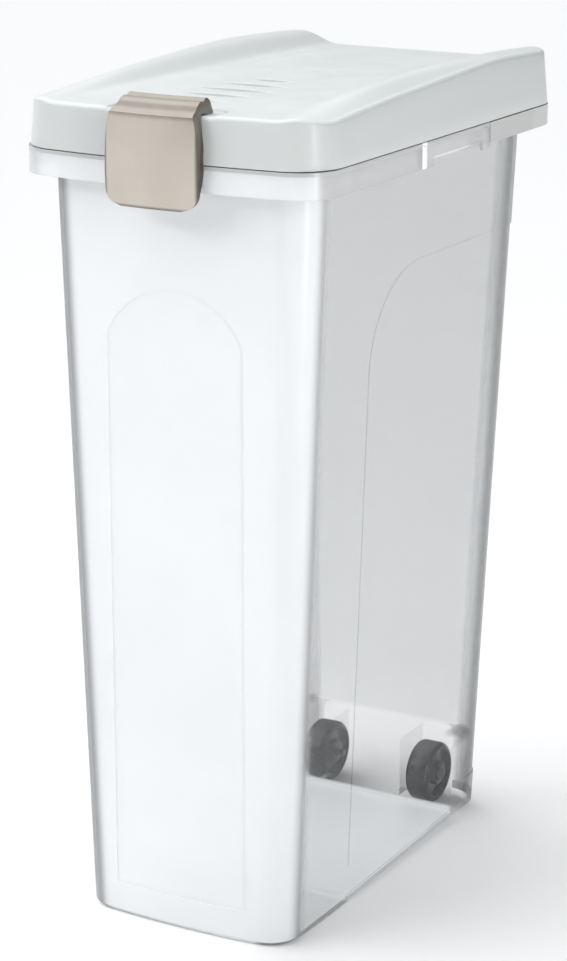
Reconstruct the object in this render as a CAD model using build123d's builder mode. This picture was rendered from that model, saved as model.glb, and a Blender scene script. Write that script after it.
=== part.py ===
# Pet food storage bin: a tall clear tub that stands on a front foot and two rear wheels,
# with a hinged lid, a ring seal under the lid and a latch on the front of the rim.
# Millimetres, +Z up, the front faces -Y. The origin is on the floor, under the middle.
import os
from build123d import *

os.makedirs("parts", exist_ok=True)

# rim, seen from above: a rounded rectangle whose front side bows outwards
rim_half = 119.5
rim_front = -182.75
rim_back = 190.75
rim_bow = 8.0
rim_radius = 30.0
rim_top = 560.0
land_thick = 2.4
flange_bottom = 542.0
flange_thick = 2.2

# tub body, from the floor up to the rim
wall = 2.4
floor_thick = 2.6
base_half = 84.3
base_front = -167.8
base_back = 151.2
body_bow = 5.0
body_radius = 24.0
base_round = 3.5
neck_inset = 14.6
neck_back = 168.0
lip_top = 567.0

# foot under the front, and the floor that rises behind it
foot_back = -72.0
foot_step = 2.0
heel_y = 101.0
heel_z = 6.0

# how far a cut runs on past what it cuts, and how deep a lug is rooted in what carries it
spare = 10.0
seat = 1.0

# shallow recessed panels in the walls
panel_depth = 0.9
front_panel_half = 54.0
front_panel_low = 25.0
front_panel_spring = 436.0
front_panel_top = 470.0
side_panel_front = -75.0
side_panel_low = 30.0
side_panel_spring = 402.0
side_panel_top = 472.0
side_panel_arch = -5.0
side_panel_radius = 70.0

# hand grips in the flange of both long sides
grip_front = -20.0
grip_back = 58.0
grip_edge = 548.5
rib_y = -35.0
rib_radius = 3.6
rib_proud = 0.9
hook_width = 7.0
hook_thick = 3.8
hook_round = 1.2
hook_bottom = 541.4
band_front = 68.5
band_bottom = 545.0
band_proud = 0.5

# wheels in a pocket under the rear of the tub
wheel_radius = 24.3
wheel_width = 20.0
wheel_round = 3.6
shoulder = 2.4
wheel_rim = 4.6
wheel_x = 46.7
wheel_y = 132.3
pocket_front = 102.0
pocket_top = 60.0
pocket_half = 59.5
pocket_round = 9.0
bracket_thick = 5.0
bracket_gap = 0.6
bracket_low = 12.0
boss_radius = 9.0
axle_radius = 3.0
axle_head_radius = 5.5
axle_head_thick = 2.4
axle_play = 0.3
running_gap = 0.08
hub_radius = 9.0
hub_recess = 4.5

# lid
lid_bottom = 560.6
lid_wall = 2.6
lid_taper = 5.0
lid_edge_round = 3.0
floor_peak = 594.6
floor_peak_y = -50.0
floor_sweep = 7000.0
rail_peak = 605.0
rail_peak_y = 30.0
rail_sweep = 2300.0
rail_foot = 60.0
rail_height = 11.5
rail_crest = 103.0
rail_shoulder = 2.5
s_bend = 13.0
s_lift = 1.0
crown_deep = 60.0
crown_end = 210.0
bevel_height = 596.7
bevel_rise = 0.0428
bevel_slope = 0.41
bevel_inner = 50.0
lid_top_skin = 1.2
groove_depth = 1.3
groove_width = 8.0
groove_first = -37.0
groove_pitch = 25.0
groove_halves = (17.0, 27.0, 32.0, 27.0, 17.0)
groove_floor = 594.2
finger_half = 42.0
finger_back = -164.0
finger_front = -192.0
finger_floor = 592.2
finger_round = 9.0
catch_half = 33.0
catch_front = -183.0
catch_back = -169.5
catch_floor = 590.6
pad_half = 37.0
pad_front = -187.5
pad_back = -164.0
pad_bottom = 587.0

# lid hinge behind the rim
hinge_y = 196.4
hinge_z = 555.0
hinge_x = 62.0
hinge_pin_radius = 2.0
knuckle_radius = 4.6
knuckle_width = 24.0
knuckle_low = 561.2
knuckle_top = 574.6
knuckle_root = 2.2
ear_radius = 4.3
ear_thick = 3.2
hinge_side_gap = 0.5

# seal ring under the lid, held between two ribs right over the lip of the tub
seal_bottom = 567.4
seal_top = 573.0
seal_proud = 0.4
rib_wall = 2.2
rib_bottom = 569.0
rib_roof = 2.0

# latch on the front of the rim
latch_face = -201.0
latch_skin = 2.5
latch_bottom = 530.0
latch_half = 36.0
latch_side = 2.6
latch_bow = 2.6
latch_round = 12.0
lip_half = 30.5
latch_pin_y = -194.0
latch_pin_z = 536.0
latch_pin_radius = 1.6
lug_x = 22.0
lug_thick = 4.0
lug_radius = 2.9
lug_face = -188.75
lug_root = -172.0
lug_shoulder = 548.0
cheek_thick = 3.0
cheek_gap = 0.4

# plan of a section: straight sides and back, bowed front, rounded corners
def plan(half, front, back, bow, radius):
    with BuildSketch() as shape:
        with BuildLine():
            ThreePointArc((-half, front), (0, front - bow), (half, front))
            Polyline((half, front), (half, back), (-half, back), (-half, front))
        make_face()
        fillet(shape.vertices(), radius)
    return shape.sketch


def rim_plan(inset):
    return plan(rim_half - inset, rim_front + inset, rim_back - inset, rim_bow, rim_radius - inset)


# plan of the tub body at a height, drawn in by the inset
def body_plan(height, inset):
    share = height / rim_top
    half = base_half + share * (rim_half - neck_inset - base_half) - inset
    front = base_front + share * (rim_front + neck_inset - base_front) + inset
    back = base_back + share * (neck_back - base_back) - inset
    return plan(half, front, back, body_bow, body_radius - inset)


# solid form of the tub body between two heights, drawn in all round by the inset
def body_form(low, high, inset):
    with BuildPart() as form:
        for height in (low, high):
            with BuildSketch(Plane.XY.offset(height)):
                add(body_plan(height, inset))
        loft(ruled=True)
    return form.part


# wedge under the floor, behind the foot, lifted by the given amount
def floor_wedge(lift):
    with BuildPart() as wedge:
        with BuildSketch(Plane.YZ.offset(-rim_half)):
            with BuildLine():
                Polyline((foot_back, -spare), (foot_back, lift), (foot_back + foot_step, lift + foot_step),
                         (heel_y, lift + heel_z), (rim_back, lift + heel_z), (rim_back, -spare),
                         (foot_back, -spare))
            make_face()
        extrude(amount=2 * rim_half)
    return wedge.part


# what a shallow panel takes off the outside: its prism, less the form drawn in by the depth
def panel_cut(plane, outline, reach, low, high):
    with BuildPart() as cut:
        with BuildSketch(plane):
            add(outline)
        extrude(amount=reach)
        add(body_form(low, high, panel_depth), mode=Mode.SUBTRACT)
    return cut.part


with BuildSketch() as front_panel:
    with BuildLine():
        Polyline((-front_panel_half, front_panel_spring), (-front_panel_half, front_panel_low),
                 (front_panel_half, front_panel_low), (front_panel_half, front_panel_spring))
        ThreePointArc((front_panel_half, front_panel_spring), (0, front_panel_top),
                      (-front_panel_half, front_panel_spring))
    make_face()

# the side panel runs on round the rear corner and across the rear wall
with BuildSketch() as side_panel:
    with BuildLine():
        Polyline((side_panel_front, side_panel_spring), (side_panel_front, side_panel_low),
                 (rim_back, side_panel_low), (rim_back, side_panel_top),
                 (side_panel_arch, side_panel_top))
        RadiusArc((side_panel_arch, side_panel_top), (side_panel_front, side_panel_spring),
                  -side_panel_radius)
    make_face()

front_cut = panel_cut(Plane.XZ, front_panel.sketch, -rim_front, front_panel_low, front_panel_top)
side_cut = panel_cut(Plane.YZ.offset(-rim_half), side_panel.sketch, 2 * rim_half, side_panel_low,
                     side_panel_top)

# the room inside the tub: the pocket for the wheels and the rise of the floor stay outside it
with BuildPart() as room:
    add(body_form(floor_thick, lip_top + spare, wall))
    add(floor_wedge(floor_thick), mode=Mode.SUBTRACT)
    with BuildSketch(Plane.YZ.offset(-rim_half)):
        with Locations((pocket_front - wall, pocket_top + wall)):
            Rectangle(rim_back, 2 * pocket_top, align=(Align.MIN, Align.MAX))
    extrude(amount=2 * rim_half, mode=Mode.SUBTRACT)

# the pocket under the rear: inside the walls, open downwards and through the rear wall
with BuildPart() as pocket:
    add(body_form(-spare, pocket_top + spare, wall))
    with BuildSketch(Plane.YZ.offset(-rim_half)):
        with Locations((pocket_front, pocket_top)):
            Rectangle(rim_back, 2 * pocket_top, align=(Align.MIN, Align.MAX))
    extrude(amount=2 * rim_half, mode=Mode.INTERSECT)
    with BuildSketch(Plane.XZ.offset(-rim_back)) as rear_gap:
        with Locations((0, pocket_top)):
            Rectangle(2 * pocket_half, 2 * pocket_top, align=(Align.CENTER, Align.MAX))
        fillet(rear_gap.vertices().group_by(Axis.Y)[-1], pocket_round)
    extrude(amount=rim_back - wheel_y)

# tub: body, rim, wheel pocket, brackets, hinge ears and latch lugs in one moulding
with BuildPart() as tub:
    add(body_form(0, rim_top, 0))
    chamfer(tub.edges().filter_by_position(Axis.Z, -0.1, 0.1), base_round)
    # the lip goes on up inside the lid
    with BuildSketch(Plane.XY.offset(rim_top - land_thick)):
        add(body_plan(rim_top, 0))
    extrude(amount=lip_top - rim_top + land_thick)
    for cut in (front_cut, side_cut, floor_wedge(0)):
        add(cut, mode=Mode.SUBTRACT)
    # rim: a flat land and a flange that hangs from its edge
    with BuildSketch(Plane.XY.offset(rim_top)):
        add(rim_plan(0))
    extrude(amount=-land_thick)
    with BuildSketch(Plane.XY.offset(flange_bottom)):
        add(rim_plan(0))
        add(rim_plan(flange_thick), mode=Mode.SUBTRACT)
    extrude(amount=rim_top - flange_bottom)
    # the rear band of the flange stands a little proud
    with BuildSketch(Plane.XY.offset(band_bottom)):
        add(rim_plan(-band_proud))
        add(rim_plan(flange_thick), mode=Mode.SUBTRACT)
        with Locations((0, band_front)):
            Rectangle(3 * rim_half, 3 * rim_half, align=(Align.CENTER, Align.MAX), mode=Mode.SUBTRACT)
    extrude(amount=rim_top - band_bottom)
    # cut the flange short at the grips, and all round the rear under the band
    for side in (-1, 1):
        with BuildSketch(Plane.YZ.offset(side * (rim_half - neck_inset / 2))):
            with Locations((grip_front, flange_bottom)):
                Rectangle(grip_back - grip_front, 2 * (grip_edge - flange_bottom),
                          align=(Align.MIN, Align.CENTER))
        extrude(amount=side * neck_inset, mode=Mode.SUBTRACT)
    with BuildSketch(Plane.XY.offset(band_bottom)):
        with Locations((0, band_front)):
            Rectangle(3 * rim_half, 3 * rim_half, align=(Align.CENTER, Align.MIN))
        add(rim_plan(neck_inset / 2), mode=Mode.SUBTRACT)
    extrude(amount=-spare, mode=Mode.SUBTRACT)
    for side in (-1, 1):
        # upright rib in front of the grip, hook behind it
        with BuildSketch(Plane.XY.offset(flange_bottom)):
            with Locations((side * (rim_half + rib_proud - rib_radius), rib_y)):
                Circle(rib_radius)
        extrude(amount=rim_top - flange_bottom - land_thick)
        with BuildSketch(Plane.XY.offset(hook_bottom)):
            with Locations((side * (rim_half + band_proud - hook_thick / 2), grip_back + hook_width / 2)):
                RectangleRounded(hook_thick, hook_width, hook_round)
        extrude(amount=rim_top - hook_bottom - land_thick)
        # ears of the lid hinge
        for end in (-1, 1):
            gap = knuckle_width / 2 + hinge_side_gap
            start = side * hinge_x + end * gap
            with BuildSketch(Plane.YZ.offset(start)):
                with Locations((hinge_y, hinge_z)):
                    Circle(ear_radius)
                with BuildLine():
                    Polyline((hinge_y, hinge_z + ear_radius), (rim_back - seat, rim_top),
                             (rim_back - seat, band_bottom), (hinge_y, hinge_z - ear_radius),
                             (hinge_y, hinge_z + ear_radius))
                make_face()
                with Locations((hinge_y, hinge_z)):
                    Circle(hinge_pin_radius, mode=Mode.SUBTRACT)
            extrude(amount=end * ear_thick)
        # lugs of the latch
        with BuildSketch(Plane.YZ.offset(side * lug_x)):
            with Locations((latch_pin_y, latch_pin_z)):
                Circle(lug_radius)
            with BuildLine():
                Polyline((latch_pin_y, latch_pin_z + lug_radius), (lug_face, lug_shoulder),
                         (lug_face, rim_top - seat), (lug_root, rim_top - seat), (lug_root, flange_bottom - seat),
                         (latch_pin_y, latch_pin_z - lug_radius),
                         (latch_pin_y, latch_pin_z + lug_radius))
            make_face()
            with Locations((latch_pin_y, latch_pin_z)):
                Circle(latch_pin_radius, mode=Mode.SUBTRACT)
        extrude(amount=side * lug_thick)
    add(room.part, mode=Mode.SUBTRACT)
    add(pocket.part, mode=Mode.SUBTRACT)
    # brackets between the wheels, each with a boss for its axle
    for side in (-1, 1):
        face = wheel_x - wheel_width / 2 - bracket_gap
        with BuildSketch(Plane.YZ.offset(side * (face - bracket_thick))):
            with Locations((wheel_y, wheel_radius)):
                Circle(boss_radius)
            with BuildLine():
                Polyline((pocket_front - seat, pocket_top + seat), (pocket_front - seat, bracket_low),
                         (pocket_front + bracket_low, bracket_low), (wheel_y, wheel_radius - boss_radius),
                         (wheel_y + boss_radius, wheel_radius), (wheel_y + boss_radius, pocket_top + seat),
                         (pocket_front - seat, pocket_top + seat))
            make_face()
            with Locations((wheel_y, wheel_radius)):
                Circle(axle_radius, mode=Mode.SUBTRACT)
        extrude(amount=side * bracket_thick)
tub.part.label = "tub"
export_step(tub.part, "parts/tub.step")

# wheels: a tread with chamfered corners, dished sides and a hub round the axle
for name, side in (("wheel_left", -1), ("wheel_right", 1)):
    half = wheel_width / 2
    bore = axle_radius + running_gap
    with BuildPart() as wheel:
        with BuildSketch():
            with BuildLine():
                Polyline((0, bore), (half, bore), (half, hub_radius), (half - hub_recess, hub_radius),
                         (half - hub_recess, wheel_radius - wheel_rim), (half, wheel_radius - wheel_rim),
                         (half, wheel_radius - shoulder), (half - wheel_round, wheel_radius),
                         (0, wheel_radius))
                mirror(about=Plane.YZ)
            make_face()
        revolve(axis=Axis.X)
    wheel.part.label = name
    wheel.part.position = (side * wheel_x, wheel_y, wheel_radius)
    export_step(wheel.part, f"parts/{name}.step")

# axles: a headed pin pressed into the bracket from the outer side of each wheel
for name, side in (("axle_left", -1), ("axle_right", 1)):
    with BuildPart() as axle:
        with BuildSketch(Plane.YZ.offset(side * (wheel_x + wheel_width / 2 + axle_play))):
            with Locations((wheel_y, wheel_radius)):
                Circle(axle_head_radius)
        extrude(amount=side * axle_head_thick)
        with BuildSketch(Plane.YZ.offset(side * (wheel_x + wheel_width / 2 + seat))):
            with Locations((wheel_y, wheel_radius)):
                Circle(axle_radius)
        extrude(amount=-side * (wheel_width + bracket_gap + bracket_thick + 2.5 * seat))
    axle.part.label = name
    export_step(axle.part, f"parts/{name}.step")

# hinge pins, each through one knuckle of the lid and pressed into two ears
pin_length = knuckle_width + 2 * hinge_side_gap + 2 * ear_thick
for name, side in (("hinge_pin_left", -1), ("hinge_pin_right", 1)):
    with BuildPart() as pin:
        with BuildSketch(Plane.YZ.offset(side * hinge_x - pin_length / 2)):
            with Locations((hinge_y, hinge_z)):
                Circle(hinge_pin_radius)
        extrude(amount=pin_length)
    pin.part.label = name
    export_step(pin.part, f"parts/{name}.step")

# latch pin, pressed through both lugs
latch_pin_half = lug_x + lug_thick + cheek_gap + cheek_thick + seat / 2
with BuildPart() as latch_pin:
    with BuildSketch(Plane.YZ.offset(-latch_pin_half)):
        with Locations((latch_pin_y, latch_pin_z)):
            Circle(latch_pin_radius)
    extrude(amount=2 * latch_pin_half)
latch_pin.part.label = "latch_pin"
export_step(latch_pin.part, "parts/latch_pin.step")


# section of one rail of the lid: it rises in an S and falls off a little towards the edge
def rail_section(soft):
    edge = (rim_half + seat, rail_sweep - rail_shoulder)
    foot = (rail_foot, rail_sweep - rail_height)
    middle = ((rail_foot + rail_crest) / 2, rail_sweep - rail_height / 2)
    crest = (rail_crest, rail_sweep)
    low_bend = (foot[0] + s_bend, foot[1] + s_lift)
    high_bend = (crest[0] - s_bend, crest[1] - s_lift)
    with BuildSketch() as section:
        with BuildLine():
            if soft:
                TangentArc(foot, middle, tangent=(1, 0))
                TangentArc(crest, middle, tangent=(-1, 0))
                TangentArc(crest, edge, tangent=(1, 0))
            else:
                Polyline(foot, low_bend, high_bend, crest, edge)
            Polyline(edge, (edge[0], rail_sweep - crown_deep), (rail_foot, rail_sweep - crown_deep), foot)
        make_face()
        mirror(about=Plane.YZ)
    return section.sketch


# solid under the lid's top surface, lowered by the given amount: a channel floor and two
# side rails, each the rim of a very large wheel that turns about a cross axis, and a
# long bevel that runs out towards the rear on the outer side of each rail
def crown_form(drop):
    floor_plane = Plane(origin=(0, floor_peak_y, floor_peak - floor_sweep - drop), x_dir=(1, 0, 0))
    rail_plane = Plane(origin=(0, rail_peak_y, rail_peak - rail_sweep - drop), x_dir=(1, 0, 0))
    reach = rim_half + seat
    with BuildPart() as form:
        with BuildSketch(floor_plane):
            with Locations((0, floor_sweep)):
                Rectangle(2 * reach, crown_deep, align=(Align.CENTER, Align.MAX))
        revolve(axis=Axis(floor_plane.origin, (1, 0, 0)))
        with BuildSketch(rail_plane):
            add(rail_section(drop == 0))
        revolve(axis=Axis(rail_plane.origin, (1, 0, 0)))
        with BuildSketch(Plane.XY.offset(rim_top)):
            Rectangle(2 * reach, 2 * crown_end)
        extrude(amount=crown_deep, mode=Mode.INTERSECT)
        # bevels: a plane on each side, high at the rear and low at the front
        for side in (-1, 1):
            for end in (-1, 1):
                height = bevel_height - drop + end * bevel_rise * crown_end
                with BuildSketch(Plane.XZ.offset(-end * crown_end)):
                    with BuildLine():
                        Polyline((side * reach, height - bevel_slope * seat),
                                 (side * reach, height + crown_deep),
                                 (side * bevel_inner, height + crown_deep),
                                 (side * bevel_inner, height + bevel_slope * (rim_half - bevel_inner)),
                                 (side * reach, height - bevel_slope * seat))
                    make_face()
            loft(ruled=True, mode=Mode.SUBTRACT)
    return form.part


# rings above the lip of the tub, cut off under the lid's top surface
with BuildPart() as seal_ribs:
    for near, far in ((-seal_proud - rib_wall, -seal_proud), (wall + seal_proud, wall + seal_proud + rib_wall)):
        with BuildSketch(Plane.XY.offset(rib_bottom)):
            add(body_plan(rim_top, near))
            add(body_plan(rim_top, far), mode=Mode.SUBTRACT)
        extrude(amount=crown_deep)
    with BuildSketch(Plane.XY.offset(seal_top)):
        add(body_plan(rim_top, -seal_proud - rib_wall / 2))
        add(body_plan(rim_top, wall + seal_proud + rib_wall / 2), mode=Mode.SUBTRACT)
    extrude(amount=rib_roof)
    # pad that thickens the lid under the catch
    with BuildSketch(Plane.XY.offset(pad_bottom)):
        with Locations((0, pad_front)):
            Rectangle(2 * pad_half, pad_back - pad_front, align=(Align.CENTER, Align.MIN))
    extrude(amount=spare)
    add(crown_form(lid_top_skin), mode=Mode.INTERSECT)

# the room under the lid
with BuildPart() as lid_hollow:
    with BuildSketch(Plane.XY.offset(lid_bottom - seat)):
        add(rim_plan(lid_wall))
    extrude(amount=crown_deep, taper=lid_taper)
    add(crown_form(lid_wall), mode=Mode.INTERSECT)

# lid: shell, seal ribs, finger recess, grip grooves and hinge knuckles in one moulding
with BuildPart() as lid:
    with BuildSketch(Plane.XY.offset(lid_bottom)):
        add(rim_plan(0))
    extrude(amount=crown_deep, taper=lid_taper)
    add(crown_form(0), mode=Mode.INTERSECT)
    high = lid.edges().filter_by(lambda e: e.bounding_box().min.Z > 575)
    seams = high.filter_by(lambda e: e.bounding_box().size.Y > 350 and abs(e.center().X) < 110)
    border = high - seams
    fillet(border, lid_edge_round)
    add(lid_hollow.part, mode=Mode.SUBTRACT)
    add(seal_ribs.part)
    # grip grooves: shallow lens-shaped recesses across the channel
    for number, half in enumerate(groove_halves):
        y = groove_first - number * groove_pitch
        with BuildSketch(Plane.XY.offset(groove_floor - groove_depth)):
            with BuildLine():
                ThreePointArc((-half, y), (0, y + groove_width / 2), (half, y))
                ThreePointArc((-half, y), (0, y - groove_width / 2), (half, y))
            make_face()
        extrude(amount=2 * spare, mode=Mode.SUBTRACT)
    # finger recess round the latch, and the catch that its nose drops into
    with BuildSketch(Plane.XY.offset(finger_floor)) as finger:
        with Locations((0, finger_front)):
            Rectangle(2 * finger_half, finger_back - finger_front, align=(Align.CENTER, Align.MIN))
        fillet(finger.vertices(), finger_round)
    extrude(amount=2 * spare, mode=Mode.SUBTRACT)
    with BuildSketch(Plane.XY.offset(catch_floor)):
        with Locations((0, catch_front)):
            Rectangle(2 * catch_half, catch_back - catch_front, align=(Align.CENTER, Align.MIN))
    extrude(amount=2 * spare, mode=Mode.SUBTRACT)
    # knuckles of the hinge
    for side in (-1, 1):
        with BuildSketch(Plane.YZ.offset(side * hinge_x - knuckle_width / 2)):
            with Locations((hinge_y, hinge_z)):
                Circle(knuckle_radius)
            with BuildLine():
                Polyline((hinge_y - knuckle_radius, hinge_z), (hinge_y - knuckle_radius, knuckle_low),
                         (rim_back - knuckle_root, knuckle_low), (rim_back - knuckle_root, knuckle_top),
                         (rim_back + seat, knuckle_top), (hinge_y + knuckle_radius, hinge_z + seat),
                         (hinge_y + knuckle_radius, hinge_z), (hinge_y - knuckle_radius, hinge_z))
            make_face()
            with Locations((hinge_y, hinge_z)):
                Circle(hinge_pin_radius + running_gap, mode=Mode.SUBTRACT)
        extrude(amount=knuckle_width)
lid.part.label = "lid"
export_step(lid.part, "parts/lid.step")

# seal: a soft ring between the ribs, over the lip of the tub
with BuildPart() as lid_seal:
    with BuildSketch(Plane.XY.offset(seal_bottom)):
        add(body_plan(rim_top, -seal_proud))
        add(body_plan(rim_top, wall + seal_proud), mode=Mode.SUBTRACT)
    extrude(amount=seal_top - seal_bottom)
lid_seal.part.label = "lid_seal"
export_step(lid_seal.part, "parts/lid_seal.step")


# front view of the latch: barrel-shaped sides that run in to the narrower lip
with BuildSketch() as latch_front:
    with BuildLine():
        for side in (-1, 1):
            Line((0, latch_bottom), (side * 35.4, latch_bottom))
            ThreePointArc((side * 35.4, latch_bottom), (side * latch_half, 556), (side * 34.6, 583))
            ThreePointArc((side * 34.6, 583), (side * 33.2, 590.5), (side * lip_half, 597))
            Polyline((side * lip_half, 597), (side * lip_half, 600), (side * (lip_half - 3), 604), (0, 604))
    make_face()
    fillet(latch_front.vertices().group_by(Axis.Y)[0], latch_round)

# front view of the hollow behind the latch's face
with BuildSketch() as latch_inner:
    with BuildLine():
        Polyline((-32.6, latch_bottom + latch_side), (32.6, latch_bottom + latch_side), (32.0, 587.4),
                 (-32.0, 587.4), (-32.6, latch_bottom + latch_side))
    make_face()
    fillet(latch_inner.vertices().group_by(Axis.Y)[0], latch_round - latch_side)


# latch seen from above: a bowed face, set back by the inset
def latch_plan(inset):
    with BuildSketch() as shape:
        with BuildLine():
            ThreePointArc((-37, latch_face + latch_bow + inset), (0, latch_face + inset),
                          (37, latch_face + latch_bow + inset))
            Polyline((37, latch_face + latch_bow + inset), (37, -160), (-37, -160),
                     (-37, latch_face + latch_bow + inset))
        make_face()
    return shape.sketch


# the hollow behind the latch's face
with BuildPart() as latch_pocket:
    with BuildSketch(Plane.XZ.offset(150)):
        add(latch_inner.sketch)
    extrude(amount=70)
    with BuildSketch(Plane.XY.offset(latch_bottom - 5)):
        add(latch_plan(latch_skin))
    extrude(amount=90, mode=Mode.INTERSECT)

# latch: a bowed plate that swings on its pin and hooks over the front edge of the lid
with BuildPart() as latch:
    with BuildSketch(Plane.YZ.offset(-37)):
        with BuildLine():
            Spline((-200.2, latch_bottom), (-200.9, 550), (-200.9, 575), (-199.2, 593.2),
                   tangents=[(-0.05, 1), (0.25, 1)])
            ThreePointArc((-199.2, 593.2), (-194.3, 595.2), (-188.6, 599.2))
            ThreePointArc((-188.6, 599.2), (-186.2, 600.7), (-183.4, 601.2))
            Polyline((-183.4, 601.2), (-182.9, 600.4), (-177.4, 602.8))
            ThreePointArc((-177.4, 602.8), (-174.6, 601.9), (-173.4, 599.4))
            Polyline((-173.4, 599.4), (-173.2, 593.2), (-174.6, 591.5), (-179.3, 591.5), (-184.5, 593.4),
                     (-187.2, 593.4))
            ThreePointArc((-187.2, 593.4), (-189.8, 592.3), (-190.9, 589.7))
            Polyline((-190.9, 589.7), (-191.5, 586), (-191.5, 560), (-195.0, 547),
                     (-198.4, latch_bottom), (-200.2, latch_bottom))
        make_face()
    extrude(amount=74)
    with BuildSketch(Plane.XZ.offset(150)):
        add(latch_front.sketch)
    extrude(amount=60, mode=Mode.INTERSECT)
    with BuildSketch(Plane.XY.offset(latch_bottom - 5)):
        add(latch_plan(0))
    extrude(amount=90, mode=Mode.INTERSECT)
    add(latch_pocket.part, mode=Mode.SUBTRACT)
    for side in (-1, 1):
        with BuildSketch(Plane.YZ.offset(side * (lug_x + lug_thick + cheek_gap))):
            with Locations((latch_pin_y, latch_pin_z)):
                Circle(lug_radius)
            with BuildLine():
                Polyline((latch_pin_y, latch_pin_z + lug_radius), (-199.0, latch_pin_z + 8),
                         (-198.6, latch_pin_z - 4), (latch_pin_y, latch_pin_z - lug_radius),
                         (latch_pin_y, latch_pin_z + lug_radius))
            make_face()
            with Locations((latch_pin_y, latch_pin_z)):
                Circle(latch_pin_radius + running_gap, mode=Mode.SUBTRACT)
        extrude(amount=side * cheek_thick)
latch.part.label = "latch"
export_step(latch.part, "parts/latch.step")
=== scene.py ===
import math

import bmesh
import bpy
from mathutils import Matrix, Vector


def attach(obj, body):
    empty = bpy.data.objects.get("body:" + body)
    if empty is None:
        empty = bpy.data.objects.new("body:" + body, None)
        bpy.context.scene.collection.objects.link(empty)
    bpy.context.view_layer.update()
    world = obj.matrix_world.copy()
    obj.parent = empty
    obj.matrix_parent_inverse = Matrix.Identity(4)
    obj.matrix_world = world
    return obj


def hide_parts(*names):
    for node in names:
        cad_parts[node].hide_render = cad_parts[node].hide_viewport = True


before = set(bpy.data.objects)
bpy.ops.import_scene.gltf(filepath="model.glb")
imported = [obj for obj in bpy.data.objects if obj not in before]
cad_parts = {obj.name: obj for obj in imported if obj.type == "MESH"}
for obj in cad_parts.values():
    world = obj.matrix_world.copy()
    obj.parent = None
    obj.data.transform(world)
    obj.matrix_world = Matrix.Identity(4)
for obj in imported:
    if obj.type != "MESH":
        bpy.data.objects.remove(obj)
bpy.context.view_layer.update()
scene = bpy.context.scene
print("frame loaded:", ", ".join(sorted(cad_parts)))


def addNode(tree, kind, **settings):
    node = tree.nodes.new(kind)
    for label, value in settings.items():
        setattr(node, label, value)
    return node


def feed(tree, target, source):  # a number, a colour or another node's socket into an input
    if isinstance(source, bpy.types.NodeSocket):
        tree.links.new(source, target)
    else:
        target.default_value = source


def mathNode(tree, operation, first, second=0.0, clamp=False):
    node = addNode(tree, "ShaderNodeMath", operation=operation, use_clamp=clamp)
    feed(tree, node.inputs[0], first)
    feed(tree, node.inputs[1], second)
    return node.outputs[0]


def rangeNode(tree, value, fromLow, fromHigh, toLow, toHigh):  # eased step between two values
    node = addNode(tree, "ShaderNodeMapRange", interpolation_type="SMOOTHSTEP")
    for socket, number in zip(node.inputs[:5], (value, fromLow, fromHigh, toLow, toHigh)):
        feed(tree, socket, number)
    return node.outputs[0]


def mixColour(tree, share, first, second):
    node = addNode(tree, "ShaderNodeMix", data_type="RGBA")
    feed(tree, node.inputs["Factor"], share)
    feed(tree, node.inputs[6], first)
    feed(tree, node.inputs[7], second)
    return node.outputs[2]


def mixNumber(tree, share, first, second):
    node = addNode(tree, "ShaderNodeMix", data_type="FLOAT")
    feed(tree, node.inputs["Factor"], share)
    feed(tree, node.inputs[2], first)
    feed(tree, node.inputs[3], second)
    return node.outputs[0]


def noiseNode(tree, place, scale, detail=2.0, stretch=None):
    if stretch is not None:
        mapping = addNode(tree, "ShaderNodeMapping")
        feed(tree, mapping.inputs["Vector"], place)
        mapping.inputs["Scale"].default_value = stretch
        place = mapping.outputs[0]
    node = addNode(tree, "ShaderNodeTexNoise")
    feed(tree, node.inputs["Vector"], place)
    feed(tree, node.inputs["Scale"], scale)
    node.inputs["Detail"].default_value = detail
    return node.outputs["Fac"]


def newGroup(name, inputs, outputs):
    group = bpy.data.node_groups.new(name, "ShaderNodeTree")
    for label, kind in inputs:
        group.interface.new_socket(name=label, in_out="INPUT", socket_type=kind)
    for label, kind in outputs:
        group.interface.new_socket(name=label, in_out="OUTPUT", socket_type=kind)
    return group, addNode(group, "NodeGroupInput"), addNode(group, "NodeGroupOutput")


# fine moulded grain: a height for the bump, and slow drifts in shade and gloss
grain, ends, outs = newGroup(
    "mouldedGrain",
    (("Vector", "NodeSocketVector"), ("Scale", "NodeSocketFloat"), ("Drift Scale", "NodeSocketFloat")),
    (("Height", "NodeSocketFloat"), ("Shade", "NodeSocketFloat"), ("Gloss", "NodeSocketFloat")))
fine = noiseNode(grain, ends.outputs["Vector"], ends.outputs["Scale"], 3.0)
slow = noiseNode(grain, ends.outputs["Vector"], ends.outputs["Drift Scale"], 4.0)
finer = mathNode(grain, "MULTIPLY", ends.outputs["Drift Scale"], 4.3)
cloud = noiseNode(grain, ends.outputs["Vector"], finer, 2.0)
feed(grain, outs.inputs["Height"], fine)
feed(grain, outs.inputs["Shade"], rangeNode(grain, slow, 0.32, 0.68, 0.0, 1.0))
feed(grain, outs.inputs["Gloss"], rangeNode(grain, cloud, 0.3, 0.7, 0.0, 1.0))

# sharp edges: where the surface turns sharply outwards, broken up by noise; the moulded plastics brighten them as
# rubbed wear, and the latch darkens them as painted shade
edgeWearAndShade, ends, outs = newGroup(
    "sharpEdgeWearAndShade", (("Vector", "NodeSocketVector"), ("Amount", "NodeSocketFloat")), (("Mask", "NodeSocketFloat"),))
bend = addNode(edgeWearAndShade, "ShaderNodeNewGeometry").outputs["Pointiness"]
patch = noiseNode(edgeWearAndShade, ends.outputs["Vector"], 160.0, 3.0)
sharpest = rangeNode(edgeWearAndShade, bend, 0.52, 0.62, 0.0, 1.0)
rubbed = mathNode(edgeWearAndShade, "MULTIPLY", sharpest, rangeNode(edgeWearAndShade, patch, 0.35, 0.6, 0.25, 1.0))
feed(edgeWearAndShade, outs.inputs["Mask"], mathNode(edgeWearAndShade, "MULTIPLY", rubbed, ends.outputs["Amount"]))


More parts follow.
